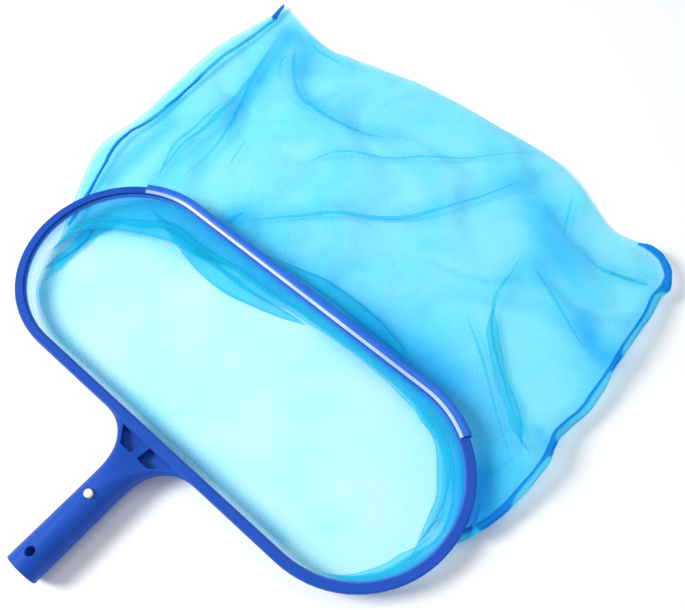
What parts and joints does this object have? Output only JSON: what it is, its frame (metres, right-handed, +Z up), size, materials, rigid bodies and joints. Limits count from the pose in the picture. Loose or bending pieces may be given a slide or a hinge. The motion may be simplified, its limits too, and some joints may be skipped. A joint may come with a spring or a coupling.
{
  "type": "leaf skimmer net",
  "caption": "Pool leaf skimmer: moulded oblong frame with a hollow pole handle, soft front lip, flat mesh bag and spring-loaded locking buttons.",
  "frame": {"origin": "on the floor under the middle of the oblong rim, in the flat underside of the net", "axes": "+Z up, the handle points to -Y, the bag lies out past the front lip to +Y, X = 0 is the frame's mirror plane"},
  "size_m": [0.5195, 0.5788, 0.0345],
  "materials": {
    "frame_plastic": "satin deep blue moulded polypropylene",
    "lip_plastic": "glossy blue soft plastic",
    "bead_plastic": "glossy pale blue-white soft plastic",
    "retainer_plastic": "satin blue plastic strip",
    "net_mesh": "sheer fine sky-blue polyester mesh",
    "seam_thread": "overlock stitching in blue thread",
    "spring_steel": "bright stainless spring strip",
    "button_plastic": "smooth white acetal"
  },
  "bodies": {
    "skimmer_head": {"frame": "frame_plastic", "front_lip": "lip_plastic", "lip_bead": "bead_plastic", "net_retainer": "retainer_plastic", "net_bag": "net_mesh", "left_side_seam": "seam_thread", "right_side_seam": "seam_thread", "clip_spring": "spring_steel"},
    "upper_button": {"upper_button": "button_plastic"},
    "lower_button": {"lower_button": "button_plastic"}
  },
  "joints": [
    {"name": "upper_button_press", "type": "slide", "parent": "skimmer_head", "child": "upper_button", "axis": [0, 0, -1], "range_m": [0, 0.004], "stiffness_N_per_m": 1500, "deforming": ["clip_spring"]},
    {"name": "lower_button_press", "type": "slide", "parent": "skimmer_head", "child": "lower_button", "axis": [0, 0, 1], "range_m": [0, 0.004], "stiffness_N_per_m": 1500, "deforming": ["clip_spring"]}
  ]
}
